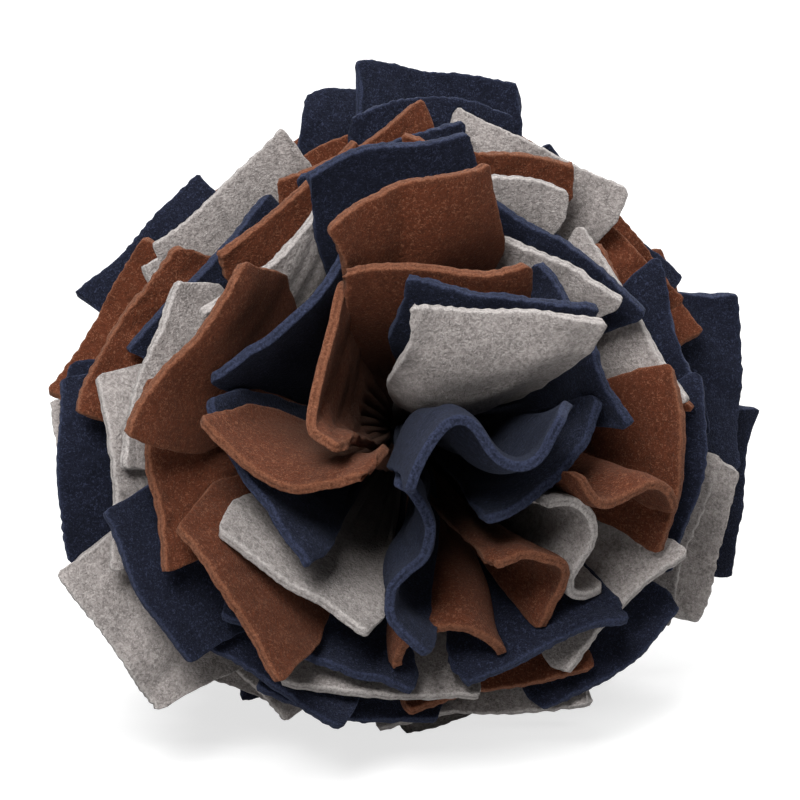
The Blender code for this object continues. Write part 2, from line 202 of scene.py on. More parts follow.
# How some front ends leave their even places: right and up in shares of the ball's radius, roll
# and swerve in degrees, and the share of the full length that the strip is cut to. A lift, last,
# bends the end back, so that more of its face shows.
LEANS = {
    "navy_strip_01": (-0.02, 0.02, -20.0, 6.0, 1.0),
    "grey_strip_01": (-0.03, 0.08, 0.0, 0.0, 1.0, 10.0),
    "navy_strip_02": (-0.02, 0.065, 0.0, 0.0, 1.0, 7.0),
    "brown_strip_01": (0.11, 0.04, 0.0, 0.0, 1.0, 5.0),
    "brown_strip_02": (0.03, 0.07, -34.0, 0.0, 0.84),
    "brown_strip_03": (-0.03, 0.09, -36.0, 0.0, 1.0, 6.0),
    "brown_strip_04": (0.03, 0.09, 0.0, 0.0, 1.0, 6.0),
    "brown_strip_12": (0.0, 0.0, 0.0, 0.0, 0.94),
    "brown_strip_16": (0.0, 0.0, 0.0, 0.0, 0.86),
    "brown_strip_17": (0.02, 0.0, 0.0, 0.0, 0.89),
    "navy_strip_12": (0.0, 0.0, 0.0, 0.0, 0.87),
    "navy_strip_18": (0.0, 0.0, 0.0, 0.0, 0.95),
    "navy_strip_22": (0.0, 0.0, 0.0, 0.0, 0.95),
    "grey_strip_12": (0.0, 0.0, 0.0, 0.0, 0.92),
    "grey_strip_13": (0.0, 0.0, 0.0, 0.0, 0.96),
    "grey_strip_14": (0.09, -0.11, 2.0, 0.0, 0.98),
    "grey_strip_15": (0.0, 0.0, 0.0, 0.0, 0.89),
    "grey_strip_17": (0.0, 0.0, 0.0, 0.0, 0.93),
}


def smooth(share):
    """0 to 1 with level ends."""
    share = np.clip(share, 0.0, 1.0)
    return share * share * (3.0 - 2.0 * share)


def past_quiet(length):
    """0 in the gathered middle, 1 at the ball's outside."""
    return smooth((length - QUIET_RADIUS) / (BALL_RADIUS - QUIET_RADIUS))


def slit_half(depth):
    """Half length of the slit that the rings close on, at a distance from the waist."""
    far = np.minimum(np.abs(depth) / BALL_RADIUS, 1.0) ** SLIT_POWER
    return SLIT_HALF_IN_WAIST + SLIT_HALF_GROWTH * far


def flatten(place, depth):
    """Round rings become ovals that close on a level slit, seen along the ball's axis."""
    return place + slit_half(depth) ** 2 / place


def unflatten(seen, depth):
    """The place that flatten moves to where it is seen."""
    root = np.sqrt(complex(seen * seen - 4.0 * slit_half(depth) ** 2))
    return max((seen + root) / 2.0, (seen - root) / 2.0, key=abs)


def waist_distance(level):
    """Rings share out the waist's area as they share out the ball's surface."""
    return WAIST_RADIUS * math.sqrt(1.0 - math.cos(level))


def turn_between(start, end):
    """The short way round from one azimuth to another."""
    return (end - start + math.pi) % (2.0 * math.pi) - math.pi


def into_world(points):
    """From the ball's own frame to the world, with its waves, sag, taper and tuck."""
    turned = points * (2.0 * math.pi / WAVE_LENGTH)
    push = np.stack([
        sum(share * np.sin(turned @ np.array(runs) + start) for share, runs, start in pair)
        for pair in WAVE_SHARES
    ], axis=-1)
    far = past_quiet(np.linalg.norm(points, axis=-1))[..., None]
    placed = (points + WAVE_HEIGHT * far * push) @ BALL_TURN.T
    x, y, z = placed[..., 0], placed[..., 1], placed[..., 2]
    low = past_quiet(-z)
    wide = 1.0 + SAG_SHARE * low - TAPER_SHARE * past_quiet(z)
    tucked = 1.0 - TUCK_SHARE * smooth(-x / TUCK_REACH) * smooth(z / TUCK_REACH)
    height = z + SAG_SHARE * BALL_RADIUS * low ** 2
    return np.stack((x * wide * tucked, y * wide, height * tucked), axis=-1) + BALL_PLACE


class Half:
    """One half of a strip, from its slot in the waist to its end."""

    def __init__(self, waist, gathered, level, azimuth, reach, roll=0.0, bend=0.0, swerve=0.0):
        self.waist = waist
        self.gathered = gathered
        self.level = math.radians(level)
        self.azimuth = azimuth
        self.slot = azimuth
        self.reach = reach
        self.roll, self.bend, self.swerve = (math.radians(angle) for angle in (roll, bend, swerve))
        self.lift = 0.0

    def reach_of(self, level, along):
        """Distance from the ball's axis, and depth from the waist, at a length along a level."""
        distance = np.hypot(self.waist, along * np.sin(level))
        parted = PARTING * np.tanh(along / PARTING_REACH) * (level / (math.pi / 2.0)) ** 2
        return distance, along * np.cos(level) + parted

    def section(self, columns, half_width, distance, depth):
        """Across the strip: how far each column lies along its level, and how far out of it."""
        steps = np.linspace(-1.0, 1.0, SECTION_STEPS)
        heading = self.roll + self.bend * steps + self.swerve * np.cos(math.pi * steps)
        heading = (heading[1:] + heading[:-1]) / 2.0
        along = np.concatenate(([0.0], np.cumsum(np.cos(heading)))) * (steps[1] - steps[0])
        outward = np.concatenate(([0.0], np.cumsum(np.sin(heading)))) * (steps[1] - steps[0])
        along = (along - along.mean()) * half_width
        outward = (outward - outward.mean()) * half_width
        flat = FLATTER_SHARE * (1.0 - (slit_half(depth) / distance) ** 2) ** 2
        radius = max(distance, half_width)
        hollow = flat * (np.hypot(radius, along) - radius)
        outward += hollow - hollow.mean()
        along += flat * (radius * np.arctan(along / radius) - along)
        return np.interp(columns, steps, along), np.interp(columns, steps, outward)

    def row(self, share, columns, trim):
        """Points across the strip at a share of this half's length, less a trim per column."""
        along = share * self.reach
        spread = smooth(along / GATHER_REACH)
        azimuth = self.slot + spread * turn_between(self.slot, self.azimuth)
        distance, depth = self.reach_of(self.level, along)
        opened = min(along / GATHER_REACH, 1.0) ** OPENING_POWER
        half_width = (self.gathered + (STRIP_WIDTH - self.gathered) * opened) / 2.0
        angles = azimuth + np.linspace(-math.pi, math.pi, OVAL_STEPS)
        oval = flatten(distance * np.exp(1j * angles), depth)
        walked = np.concatenate(([0.0], np.cumsum(np.abs(np.diff(oval)))))
        walked -= np.interp(azimuth, angles, walked)
        sideways, outward = self.section(columns, half_width, distance, depth)
        square = STRAIGHT_SHARE * spread * sideways ** 2 / (2.0 * max(along, self.reach / 2.0))
        along = np.maximum(along - trim + square, 0.0)
        rolled = self.level + spread * outward / np.maximum(along, WAIST_RADIUS)
        rolled = rolled - self.lift * spread * (1.0 - share ** 3)
        distance, depth = self.reach_of(rolled, along)
        spot = flatten(distance * np.exp(1j * np.interp(sideways, walked, angles)), depth)
        return np.stack((spot.real, spot.imag, depth), axis=-1)


class Strip:
    """One strip: the front half shows as the table says, and the back half is plain."""

    def __init__(self, ring_level, in_ring, colour, right, up, lap, roll=0.0, bend=0.0, swerve=0.0):
        self.colour = colour
        self.ring_level = ring_level
        level = ring_level + LAP_DEG * lap
        seen = BALL_RADIUS * (complex(right, up) - FAN_MIDDLE)
        place = unflatten(seen, BALL_RADIUS * math.cos(math.radians(level)))
        reach = abs(place) / math.sin(math.radians(level))
        reach = float(np.clip(reach, REACH_LEAST_SHARE * BALL_RADIUS, REACH_MOST_SHARE * BALL_RADIUS))
        self.waist = waist_distance(math.radians(ring_level + LAP_DEG * min(lap, WAIST_LAP_MOST)))
        slot_width = 2.0 * math.pi * waist_distance(math.radians(ring_level)) / in_ring
        self.gathered = min(GATHERED_FILL_SHARE * slot_width, GATHERED_WIDTH_MOST)
        if bend or swerve:
            self.gathered *= GATHERED_FOLDED_SHARE
        self.front = Half(self.waist, self.gathered, level, np.angle(place), reach, roll, bend, swerve)
        self.back = None
        self.length = STRIP_LENGTH

    def seat(self, slot_azimuth, back_lap, back_roll):
        """Take a slot in the waist, which the back half leaves straight, and rest on the floor."""
        self.front.slot = slot_azimuth
        reach = STRIP_LENGTH - self.front.reach
        level = self.ring_level + LAP_DEG * back_lap
        self.back = Half(self.waist, self.gathered, level, slot_azimuth, reach, back_roll)
        for half, side in ((self.front, 1.0), (self.back, -1.0)):
            longest = half.reach + REST_STRETCH
            for _ in range(SETTLE_STEPS):
                over = -FLOOR_TRIM - self.lowest(side)
                if over < -REST_BAND:
                    break
                half.reach = min(half.reach - over, longest)

    def lean(self, right, up, roll, swerve, length_share, lift=0.0):
        """Let the front end leave its even place a little, as the real ones do."""
        front = self.front
        depth = front.reach * math.cos(front.level)
        place = front.reach * math.sin(front.level) * np.exp(1j * front.azimuth)
        seen = flatten(place, depth) + BALL_RADIUS * complex(right, up)
        place = unflatten(seen, depth)
        front.azimuth += turn_between(front.azimuth, np.angle(place))
        front.level = math.atan2(abs(place), depth)
        front.roll += math.radians(roll)
        front.swerve += math.radians(swerve)
        front.lift = math.radians(lift)
        front.reach *= length_share
        self.back.reach *= length_share
        self.length *= length_share

    def rows(self, shares, columns, trims):
        """The strip's middle surface in the world, row by row from its back end to its front end."""
        points = []
        for share, trim in zip(shares, trims):
            half, side = (self.front, 1.0) if share >= 0.0 else (self.back, -1.0)
            points.append(half.row(abs(share), columns, trim) * np.array((1.0, 1.0, side)))
        return into_world(np.array(points))

    def lowest(self, side):
        """Height of the lowest point of the front or back half, with its thickness."""
        columns = np.linspace(-1.0, 1.0, PROBE_COLUMNS)
        places = self.rows(side * PROBE_SHARES, columns, np.zeros(len(PROBE_SHARES)))
        normals = np.cross(np.gradient(places, axis=0), np.gradient(places, axis=1))
        upright = np.abs(normals[..., 2]) / np.linalg.norm(normals, axis=2)
        return (places[..., 2] - upright * PROBE_HALF_THICKNESS).min()


def strips_in_order():
    """The strips of all rings, with the names of the solids that they replace."""
    counts = {"navy": 0, "brown": 0, "grey": 0}
    named = []
    for ring_level, members in RINGS:
        ring = [Strip(ring_level, len(members), *member) for member in members]
        step = 2.0 * math.pi / len(ring)
        start = ring[0].front.azimuth
        drift = [turn_between(start + step * n, strip.front.azimuth) for n, strip in enumerate(ring)]
        start += sum(drift) / len(ring)
        first_lap = math.copysign(1.0, members[0][3])
        laps = [(first_lap * (-1.0) ** slot, 0.0) for slot in range(len(ring))]
        if len(ring) % 2 == 1:
            laps[-1] = (0.0, -first_lap * ODD_ROLL_DEG)
        for slot, strip in enumerate(ring):
            even = start + step * slot
            strip.seat(even + SLOT_DRIFT_SHARE * turn_between(even, strip.front.azimuth), *laps[slot])
            counts[strip.colour] += 1
            name = f"{strip.colour}_strip_{counts[strip.colour]:02d}"
            if name in LEANS:
                strip.lean(*LEANS[name])
            elif ring_level > INNER_RINGS_DEG and strip.front.roll == 0.0:
                strip.front.roll = math.radians(SMALL_ROLL_DEG * math.sin(SMALL_ROLL_STEP * len(named)))
            named.append((name, strip))
    return named


# Rows and columns of a strip's sheet. Rows crowd toward the cut ends.
ROWS, COLUMNS = ((101, 61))
ROW_CROWDING = 0.25
# The cut: rounded corners, a slant, a bow and a little waver of the scissors
CORNER_ROUNDS = (0.0008, 0.0020)
CORNERS_FROM = 0.80
CUTS_FROM = 0.55
CUT_SLANT = 0.0016
CUT_BOW = 0.0008
CUT_WAVER = 0.0004
CUT_WAVER_TURN = 5.0
# Pleats where the tie gathers the strip, fading out along it
PLEATS = 8
PLEAT_DEPTH = 0.0012
FULLNESS_MOST = 4.0
PLEATS_UNTIL = 0.60
PLEATS_FADE = 0.30
PLEAT_DRIFT = 0.8
PLEAT_DRIFT_TURN = 3.0
# How the ends curl, lift a corner and twist
ENDS_FROM = 0.42
END_CURL = 0.0016
CORNER_FLICK = 0.0020
END_TWIST = 0.0018
# Soft waves in the open cloth: length and height
SOFT_WAVES = ((0.045, 0.0006), (0.024, 0.0003), (0.011, 0.00014))
SOFT_WAVES_FROM = 0.35
SOFT_WAVES_FADE = 0.4
SOFT_WAVE_RUN_LEAST = 0.5
SOFT_WAVE_BEND = 1.2
SOFT_WAVE_BEND_TURN = 4.0
ANY_START = 6.3
# The edge: levels of its section in shares of half the thickness, how round it is, how ragged,
# and how far its lighter rim, partly lighter fibres and partly painted highlight, reaches onto the face
EDGE_PROFILE = (0.93, 0.6, 0.16, -0.16, -0.6, -0.93)
EDGE_ROUND = 0.38
EDGE_POWER = 4.0
RAGGED_HEIGHT = 0.00007
RAGGED_RUNS = (30, 110)
RAGGED_WAVES = 9
RAGGED_FROM = 0.3
RAGGED_FADE = 0.3
RAGGED_LEAST_SHARE = 0.3
RIM_WIDTH = 0.0016
RIM_ON_FACE_SHARE = 0.3
# Where cloth would pass through the floor, what lies lower than this is pressed flatter above it
FLOOR_BAND = 0.004
# Each strip's flat cut is its UV map, with the underside beside the top
UV_PER_METRE = 10.0
UV_UNDERSIDE_APART = 0.3


def unit(vectors):
    """Vectors of length 1."""
    return vectors / np.maximum(np.linalg.norm(vectors, axis=-1, keepdims=True), 1e-9)


def surface_steps(middle):
    """Steps along and across the strip from point to point, and the surface's normals."""
    along_step = np.gradient(middle, axis=0)
    across_step = np.gradient(middle, axis=1)
    return along_step, across_step, unit(np.cross(across_step, along_step))


def cut_trims(rng, shares, columns):
    """How far the hand-cut ends fall short of the full length, for each row and column."""
    corner = rng.uniform(*CORNER_ROUNDS)
    inside = np.clip(corner - STRIP_WIDTH / 2.0 * (1.0 - np.abs(columns)), 0.0, corner)
    rounding = corner - np.sqrt(corner ** 2 - inside ** 2)
    trims = smooth((np.abs(shares) - CORNERS_FROM) / (1.0 - CORNERS_FROM))[:, None] * rounding[None, :]
    for side in (-1.0, 1.0):
        slant = rng.uniform(-CUT_SLANT, CUT_SLANT)
        bow = rng.uniform(-CUT_BOW, CUT_BOW)
        start = rng.uniform(0.0, ANY_START)
        cut = slant * columns + bow * (1.0 - columns ** 2)
        cut += CUT_WAVER * np.sin(CUT_WAVER_TURN * columns + start)
        near_end = smooth((side * shares - CUTS_FROM) / (1.0 - CUTS_FROM))
        trims += near_end[:, None] * (cut - cut.min())[None, :]
    return trims


def cloth_push(rng, shares, columns, across_step):
    """How far the cloth stands out of its plain sheet: pleats, curled ends and soft waves."""
    width = np.linalg.norm(across_step, axis=2).sum(axis=1)
    fullness = np.clip(STRIP_WIDTH / width, 1.0, FULLNESS_MOST)
    depth = np.sqrt(2.0 * (fullness ** 2 - 1.0)) * width / PLEATS / (2.0 * math.pi)
    depth = np.minimum(depth, PLEAT_DEPTH) * smooth((PLEATS_UNTIL - np.abs(shares)) / PLEATS_FADE)
    phase = rng.uniform(0.0, 2.0 * math.pi)
    drift = PLEAT_DRIFT * np.sin(PLEAT_DRIFT_TURN * shares[:, None] + phase)
    push = depth[:, None] * np.sin(math.pi * PLEATS * columns[None, :] + phase + drift)

    across, lengthwise = np.meshgrid(columns, shares)
    for side in (-1.0, 1.0):
        end = smooth((side * lengthwise - ENDS_FROM) / (1.0 - ENDS_FROM))
        curl = rng.uniform(-END_CURL, END_CURL)
        flick = rng.uniform(-CORNER_FLICK, CORNER_FLICK)
        twist = rng.uniform(-END_TWIST, END_TWIST)
        push += curl * end ** 3 + flick * end ** 2 * smooth(across * rng.choice((-1.0, 1.0))) ** 2
        push += twist * end * across
    open_cloth = smooth((np.abs(lengthwise) - SOFT_WAVES_FROM) / SOFT_WAVES_FADE)
    for size, height in SOFT_WAVES:
        run = rng.uniform(-1.0, 1.0, 2)
        run += np.sign(rng.uniform(-1.0, 1.0, 2)) * SOFT_WAVE_RUN_LEAST
        turned = run[0] * across * STRIP_WIDTH / 2.0 + run[1] * lengthwise * STRIP_LENGTH / 2.0
        start = rng.uniform(0.0, ANY_START)
        bent = SOFT_WAVE_BEND * np.sin(SOFT_WAVE_BEND_TURN * across + rng.uniform(0.0, ANY_START))
        push += height * open_cloth * np.sin(2.0 * math.pi * turned / size + start + bent)
    return push


def fleece_mesh(name, strip, seed):
    """A closed strip of fleece with its pleats at the tie, soft waves and hand-cut edges."""
    rng = np.random.default_rng(seed)
    steps = np.linspace(-1.0, 1.0, ROWS)
    shares = (1.0 + ROW_CROWDING) * steps - ROW_CROWDING * steps ** 3
    columns = np.linspace(-1.0, 1.0, COLUMNS)
    middle = strip.rows(shares, columns, cut_trims(rng, shares, columns))
    _, across_step, normals = surface_steps(middle)
    middle = middle + normals * cloth_push(rng, shares, columns, across_step)[..., None]
    along_step, across_step, normals = surface_steps(middle)

    opened = np.minimum(np.abs(shares) * BALL_RADIUS / GATHER_REACH, 1.0) ** THICKENING_POWER
    half_thick = (GATHERED_THICKNESS + (FLEECE_THICKNESS - GATHERED_THICKNESS) * opened) / 2.0
    half_thick = np.repeat(half_thick[:, None], COLUMNS, axis=1)

    # The edge runs round the sheet's border, a little ragged where the cloth is open
    ring = [(0, c) for c in range(COLUMNS)] + [(r, COLUMNS - 1) for r in range(1, ROWS)]
    ring += [(ROWS - 1, c) for c in range(COLUMNS - 2, -1, -1)] + [(r, 0) for r in range(ROWS - 2, 0, -1)]
    ring_rows = np.array([r for r, _ in ring])
    ring_columns = np.array([c for _, c in ring])
    border = (ring_rows, ring_columns)
    out = np.zeros_like(middle)
    out[0] -= unit(along_step[0])
    out[-1] += unit(along_step[-1])
    out[:, 0] -= unit(across_step[:, 0])
    out[:, -1] += unit(across_step[:, -1])
    walk = np.arange(len(ring)) / len(ring) * 2.0 * math.pi
    ragged = sum(
        rng.uniform(RAGGED_LEAST_SHARE, 1.0) * np.sin(runs * walk + rng.uniform(0.0, ANY_START))
        for runs in rng.integers(*RAGGED_RUNS, RAGGED_WAVES)
    ) * RAGGED_HEIGHT
    ragged *= smooth((np.abs(shares[ring_rows]) - RAGGED_FROM) / RAGGED_FADE)
    edge_half = half_thick[border][:, None]
    edge_out = unit(out)[border]
    edge_normal = normals[border]
    edge = middle[border] + edge_out * ragged[:, None]
    inset = middle.copy()
    inset[border] = edge - edge_out * edge_half * EDGE_ROUND

    top = inset + normals * half_thick[..., None]
    bottom = inset - normals * half_thick[..., None]
    loops = []
    for level in EDGE_PROFILE:
        fall = 1.0 - (1.0 - abs(level) ** EDGE_POWER) ** (1.0 / EDGE_POWER)
        loops.append(edge - edge_out * edge_half * EDGE_ROUND * fall + edge_normal * edge_half * level)
    points = np.concatenate([top.reshape(-1, 3), bottom.reshape(-1, 3)] + loops)
    lowest = points[:, 2].min()
    if lowest < 0.0:
        near = points[:, 2] < FLOOR_BAND
        points[near, 2] = FLOOR_BAND + (points[near, 2] - FLOOR_BAND) * FLOOR_BAND / (FLOOR_BAND - lowest)

    count = ROWS * COLUMNS
    grid = np.arange(count).reshape(ROWS, COLUMNS)
    quads = np.stack((grid[:-1, :-1], grid[:-1, 1:], grid[1:, 1:], grid[1:, :-1]), axis=-1).reshape(-1, 4)
    faces = [quads, quads[:, ::-1] + count]
    bands = [grid[border]]
    bands += [2 * count + k * len(ring) + np.arange(len(ring)) for k in range(len(EDGE_PROFILE))]
    bands += [grid[border] + count]
    for upper, lower in zip(bands[:-1], bands[1:]):
        faces.append(np.stack((upper, np.roll(upper, -1), np.roll(lower, -1), lower), axis=-1)[:, ::-1])
    mesh = bpy.data.meshes.new(name)
    mesh.from_pydata(points.tolist(), [], np.concatenate(faces).tolist())

    across, lengthwise = np.meshgrid(columns, shares)
    flat = np.stack((across * STRIP_WIDTH / 2.0, lengthwise * STRIP_LENGTH / 2.0), axis=-1)
    flat_all = np.concatenate([flat.reshape(-1, 2)] * 2 + [flat[border]] * len(EDGE_PROFILE))
    flat_all[count:2 * count] += UV_UNDERSIDE_APART
    corners = np.empty(len(mesh.loops), dtype=np.int32)
    mesh.loops.foreach_get("vertex_index", corners)
    uv = mesh.uv_layers.new(name="cloth")
    uv.data.foreach_set("uv", (flat_all[corners] * UV_PER_METRE).astype(np.float32).ravel())

    # What the pile and its painted light follow: the rim's closeness, for the painted highlight on the
    # cut rims, the place across the edge, and the reach from the tie, for the painted shade toward it
    margin = np.minimum(
        STRIP_WIDTH / 2.0 * (1.0 - np.abs(across)), STRIP_LENGTH / 2.0 * (1.0 - np.abs(lengthwise))
    )
    on_face = ((1.0 - smooth(margin / RIM_WIDTH)) * RIM_ON_FACE_SHARE).ravel()
    edge_rows = np.abs(shares[ring_rows])
    follows = {
        "rim": [on_face] * 2 + [np.ones(len(ring))] * len(EDGE_PROFILE),
        "core": [np.ones(2 * count)] + [np.full(len(ring), abs(level)) for level in EDGE_PROFILE],
        "reach": [np.abs(lengthwise).ravel()] * 2 + [edge_rows] * len(EDGE_PROFILE),
    }
    for label, values in follows.items():
        attribute = mesh.attributes.new(label, "FLOAT", "POINT")
        attribute.data.foreach_set("value", np.concatenate(values).astype(np.float32))
    mesh.shade_smooth()
    return mesh


# Layers of the brushed pile: scale per metre, detail, roughness and distortion of each noise, and
# the noise values that count as 0 and 1. Then each layer's share in the shade and in the height.
PILE_LAYERS = {
    "clumps": (430.0, 3.0, 0.65, 0.4, 0.38, 0.62),
    "pills": (880.0, 2.0, 0.60, 0.5, 0.40, 0.60),
    "fibres": (1700.0, 3.0, 0.70, 0.6, 0.36, 0.64),
    "drift": (75.0, 2.0, 0.50, 0.0, 0.30, 0.70),
    "flecks": (1500.0, 1.0, 0.50, 1.6, 0.57, 0.66),
}
SHADE_SHARES = {"clumps": 0.20, "fibres": 0.38, "pills": 0.30, "drift": 0.12}
HEIGHT_SHARES = {"clumps": 0.14, "fibres": 0.46, "pills": 0.22}
# The cut rim is painted lighter, by fibres and evenly: partly its lighter fibres, partly a painted
# highlight where its fuzz catches the light
RIM_HIGHLIGHT_BY_FIBRES = 0.6
RIM_HIGHLIGHT_EVENLY = 0.15
# Ranges, each from low to high and what these give: the dark seam between the two faces in a cut
# edge, how clumps break it up, and the painted shade that darkens a strip toward the tie
SEAM_ACROSS = (0.10, 0.34, 1.0, 0.0)
SEAM_BY_CLUMPS = (0.2, 0.8, 0.15, 0.65)
PAINTED_SHADE_TOWARD_TIE = (0.48, 0.91, 0.985, 0.0)
PILE_HEIGHT = 0.0006
PILE_STRENGTH = 0.8
FLEECE_ROUGHNESS = 0.95
FLEECE_SPECULAR = 0.12
SHEEN_ROUGHNESS = 0.45


def pile_and_painted_light_group():
    """How the brushed pile looks: clumps, fine fibres and flecks, from the place on the strip, with a painted
    highlight on the cut rims and painted shade toward the tie.
    """
    group = bpy.data.node_groups.new("fleece pile and painted light", "ShaderNodeTree")
    group.interface.new_socket("Place", in_out="INPUT", socket_type="NodeSocketVector")
    for label in ("Dark", "Face", "Lit"):
        group.interface.new_socket(label, in_out="INPUT", socket_type="NodeSocketColor")
    for label in ("Mottle", "Fleck", "Rim", "Core", "Reach"):
        group.interface.new_socket(label, in_out="INPUT", socket_type="NodeSocketFloat")
    group.interface.new_socket("Color", in_out="OUTPUT", socket_type="NodeSocketColor")
    group.interface.new_socket("Height", in_out="OUTPUT", socket_type="NodeSocketFloat")
    nodes, links = group.nodes, group.links
    given = nodes.new("NodeGroupInput")
    result = nodes.new("NodeGroupOutput")

    def spread(value, low, high, least=0.0, most=1.0):
        made = nodes.new("ShaderNodeMapRange")
        for label, number in (("From Min", low), ("From Max", high), ("To Min", least), ("To Max", most)):
            made.inputs[label].default_value = number
        links.new(value, made.inputs["Value"])
        return made.outputs["Result"]

    def layer(scale, detail, roughness, distortion, low, high):
        made = nodes.new("ShaderNodeTexNoise")
        made.inputs["Scale"].default_value = scale
        made.inputs["Detail"].default_value = detail
        made.inputs["Roughness"].default_value = roughness
        made.inputs["Distortion"].default_value = distortion
        links.new(given.outputs["Place"], made.inputs["Vector"])
        return spread(made.outputs["Fac"], low, high)

    def worked_out(kind, first, second):
        made = nodes.new("ShaderNodeMath")
        made.operation = kind
        for socket, value in zip(made.inputs, (first, second)):
            if isinstance(value, float):
                socket.default_value = value
            else:
                links.new(value, socket)
        return made.outputs["Value"]

    def total(shares):
        terms = [worked_out("MULTIPLY", layers[label], share) for label, share in shares.items()]
        added = terms[0]
        for term in terms[1:]:
            added = worked_out("ADD", added, term)
        return added

    def blend(share, first, second):
        made = nodes.new("ShaderNodeMix")
        made.data_type = "RGBA"
        links.new(share, made.inputs["Factor"])
        links.new(first, made.inputs["A"])
        links.new(second, made.inputs["B"])
        return made.outputs["Result"]

    layers = {label: layer(*values) for label, values in PILE_LAYERS.items()}
    shade = worked_out("SUBTRACT", 1.0, total(SHADE_SHARES))
    shade = worked_out("MULTIPLY", shade, given.outputs["Mottle"])
    colour = blend(shade, given.outputs["Face"], given.outputs["Dark"])
    flecked = worked_out("MULTIPLY", layers["flecks"], given.outputs["Fleck"])
    colour = blend(flecked, colour, given.outputs["Lit"])
    # Painted highlight, partly lighter fibres: the cut rim blends toward the lit colour
    rim_highlight = worked_out("ADD", worked_out("MULTIPLY", layers["fibres"], RIM_HIGHLIGHT_BY_FIBRES), RIM_HIGHLIGHT_EVENLY)
    colour = blend(worked_out("MULTIPLY", given.outputs["Rim"], rim_highlight), colour, given.outputs["Lit"])
    seam = spread(given.outputs["Core"], *SEAM_ACROSS)
    seam = worked_out("MULTIPLY", seam, spread(layers["clumps"], *SEAM_BY_CLUMPS))
    colour = blend(seam, colour, given.outputs["Dark"])
    # Painted shade: each strip darkens toward the tie, in place of the shade between the crowded strips there
    colour = blend(spread(given.outputs["Reach"], *PAINTED_SHADE_TOWARD_TIE), colour, given.outputs["Dark"])
    links.new(colour, result.inputs["Color"])
    links.new(total(HEIGHT_SHARES), result.inputs["Height"])
    return group


# Solution-dyed fleece in three colours: the darker tone between clumps, which also gives the seam
# and the painted shade toward the tie; the face; and lighter fibres, which also give the painted
# highlight on the cut rims
FLEECE_LOOKS = {
    "navy": {"Dark": (0.0030, 0.0037, 0.0076), "Face": (0.0124, 0.0148, 0.0298), "Lit": (0.052, 0.064, 0.120),
             "Mottle": 0.90, "Fleck": 0.48, "sheen": 0.05, "tint": (0.6, 0.7, 1.0)},
    "brown": {"Dark": (0.048, 0.0130, 0.0056), "Face": (0.142, 0.038, 0.0168), "Lit": (0.30, 0.126, 0.071),
              "Mottle": 0.85, "Fleck": 0.55, "sheen": 0.08, "tint": (0.95, 0.75, 0.6)},
    "grey": {"Dark": (0.115, 0.101, 0.094), "Face": (0.545, 0.492, 0.472), "Lit": (0.62, 0.58, 0.56),
             "Mottle": 0.95, "Fleck": 0.45, "sheen": 0.10, "tint": (1.0, 0.98, 0.95)},
}
pile = pile_and_painted_light_group()


def fleece_material(colour):
    """Dull fleece with a faint sheen, in one colour, with the brushed pile on it, a painted highlight on its
    cut rims and painted shade toward the tie.
    """
    look = FLEECE_LOOKS[colour]
    material = bpy.data.materials.new(f"{colour} fleece")
    material.use_nodes = True
    nodes, links = material.node_tree.nodes, material.node_tree.links
    shader = nodes["Principled BSDF"]
    shader.inputs["Roughness"].default_value = FLEECE_ROUGHNESS
    shader.inputs["Specular IOR Level"].default_value = FLEECE_SPECULAR
    shader.inputs["Sheen Weight"].default_value = look["sheen"]
    shader.inputs["Sheen Roughness"].default_value = SHEEN_ROUGHNESS
    shader.inputs["Sheen Tint"].default_value = (*look["tint"], 1.0)
    made = nodes.new("ShaderNodeGroup")
    made.node_tree = pile
    place = nodes.new("ShaderNodeTexCoord")
    links.new(place.outputs["Object"], made.inputs["Place"])
    for label in ("Dark", "Face", "Lit"):
        made.inputs[label].default_value = (*look[label], 1.0)
    for label in ("Mottle", "Fleck"):
        made.inputs[label].default_value = look[label]
    for label in ("rim", "core", "reach"):
        value = nodes.new("ShaderNodeAttribute")
        value.attribute_name = label
        links.new(value.outputs["Fac"], made.inputs[label.capitalize()])
    bump = nodes.new("ShaderNodeBump")
    bump.inputs["Strength"].default_value = PILE_STRENGTH
    bump.inputs["Distance"].default_value = PILE_HEIGHT
    links.new(made.outputs["Color"], shader.inputs["Base Color"])
    links.new(made.outputs["Height"], bump.inputs["Height"])
    links.new(bump.outputs["Normal"], shader.inputs["Normal"])
    return material


fleeces = {colour: fleece_material(colour) for colour in FLEECE_LOOKS}
for number, (name, strip) in enumerate(strips_in_order()):
    mesh = fleece_mesh(f"{name}_fleece", strip, number + 1)
    piece = bpy.data.objects.new(f"{name}_fleece", mesh)
    bpy.context.scene.collection.objects.link(piece)
    piece.data.materials.append(fleeces[strip.colour])
    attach(piece, "root")
    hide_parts(name)

# The tie round the middle is a plain cable tie of black nylon, moulded in one piece. Its band
# runs through its head and holds the bundle, and its trimmed end stands out. It keeps its solid
# and gets the nylon's slightly uneven gloss.
NYLON_COLOUR = (0.012, 0.012, 0.013, 1.0)
NYLON_SPECULAR = 0.45
NYLON_ROUGHNESSES = (0.38, 0.56)
NYLON_GRAIN_PER_METRE = 900.0
NYLON_GRAIN_DETAIL = 3.0

